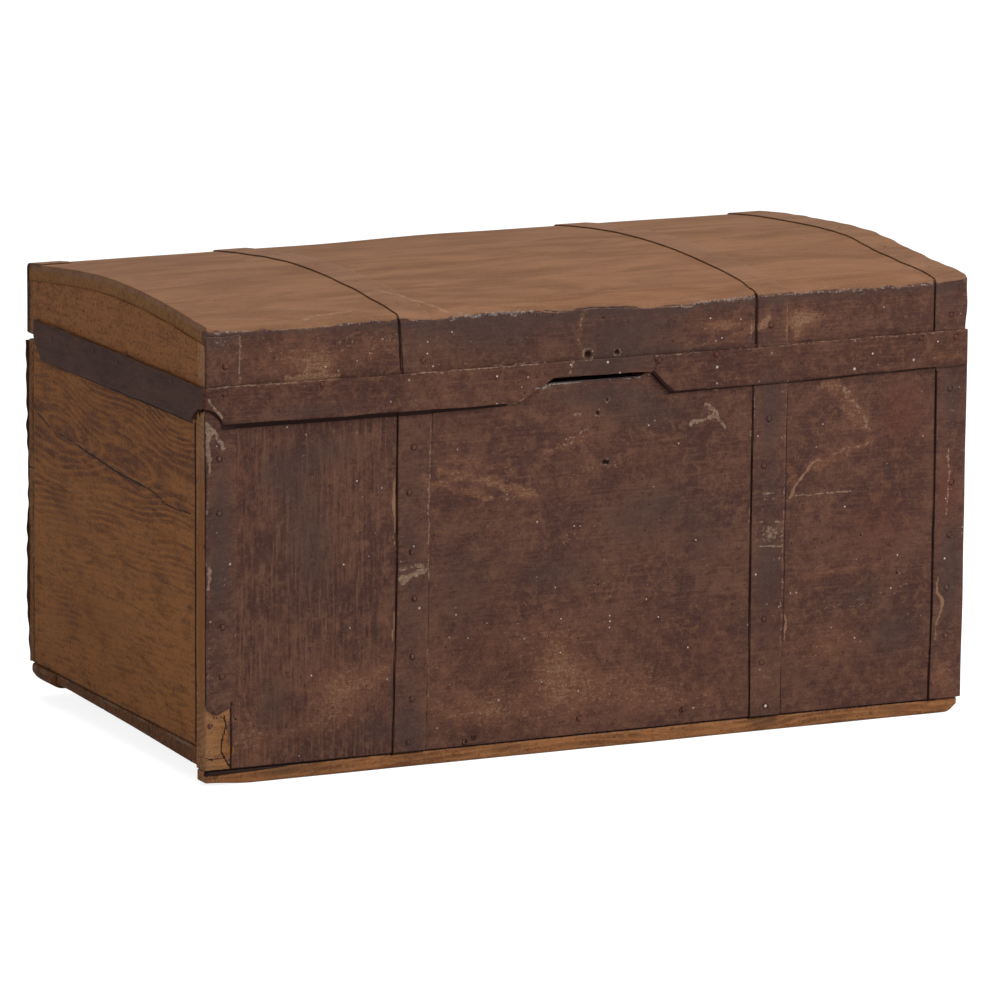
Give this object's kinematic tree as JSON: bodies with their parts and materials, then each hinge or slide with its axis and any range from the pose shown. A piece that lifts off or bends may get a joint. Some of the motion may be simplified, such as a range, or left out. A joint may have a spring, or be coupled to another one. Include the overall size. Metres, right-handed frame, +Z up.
{
  "type": "metal-bound chest",
  "caption": "Boarded wooden chest bound with iron straps, with a low cambered lid on two strap hinges and a rim band that laps over the joint.",
  "frame": {"origin": "on the floor under the middle of the closed chest's bounding box", "axes": "+X to the right along the front, +Y from the front to the back, +Z up"},
  "size_m": [0.8302, 0.4555, 0.4595],
  "materials": {
    "painted_wood": "worn red-brown paint over wood",
    "bare_wood": "aged bare softwood",
    "worn_top": "paint worn to wood, satin",
    "pale_strip": "pale bare softwood",
    "painted_iron": "red-brown paint over sheet iron, worn edges",
    "dark_iron": "dark bare iron"
  },
  "bodies": {
    "case": {"front_board_upper": "painted_wood", "front_board_lower": "painted_wood", "back_board_upper": "bare_wood", "back_board_lower": "bare_wood", "left_end_board": "bare_wood", "right_end_board": "bare_wood", "bottom_plank_1": "bare_wood", "bottom_plank_2": "bare_wood", "bottom_plank_3": "bare_wood", "bottom_plank_back": "bare_wood", "front_runner": "pale_strip", "back_runner": "pale_strip", "lock_plate": "dark_iron", "front_strap_left": "painted_iron", "front_strap_right": "painted_iron", "back_strap_left": "painted_iron", "back_strap_right": "painted_iron", "front_corner_iron_left": "painted_iron", "front_corner_iron_right": "painted_iron", "back_corner_iron_left": "painted_iron", "back_corner_iron_right": "painted_iron", "hinge_pin_left": "dark_iron", "hinge_pin_right": "dark_iron"},
    "lid": {"lid_front_board": "painted_wood", "lid_back_board": "bare_wood", "lid_left_end_board": "bare_wood", "lid_right_end_board": "bare_wood", "lid_stave_1": "worn_top", "lid_stave_2": "worn_top", "lid_stave_3": "worn_top", "lid_stave_4": "worn_top", "lid_stave_5": "worn_top", "lid_corner_iron_left": "painted_iron", "lid_rear_iron_left": "painted_iron", "lid_end_iron_right": "painted_iron", "lid_strap_left": "painted_iron", "lid_strap_right": "painted_iron", "rim_band": "painted_iron"}
  },
  "joints": [
    {"name": "lid_hinge", "type": "hinge", "parent": "case", "child": "lid", "pos_m": [0, 0.224, 0.371], "axis": [-1, 0, 0], "range_deg": [0, 105]}
  ]
}
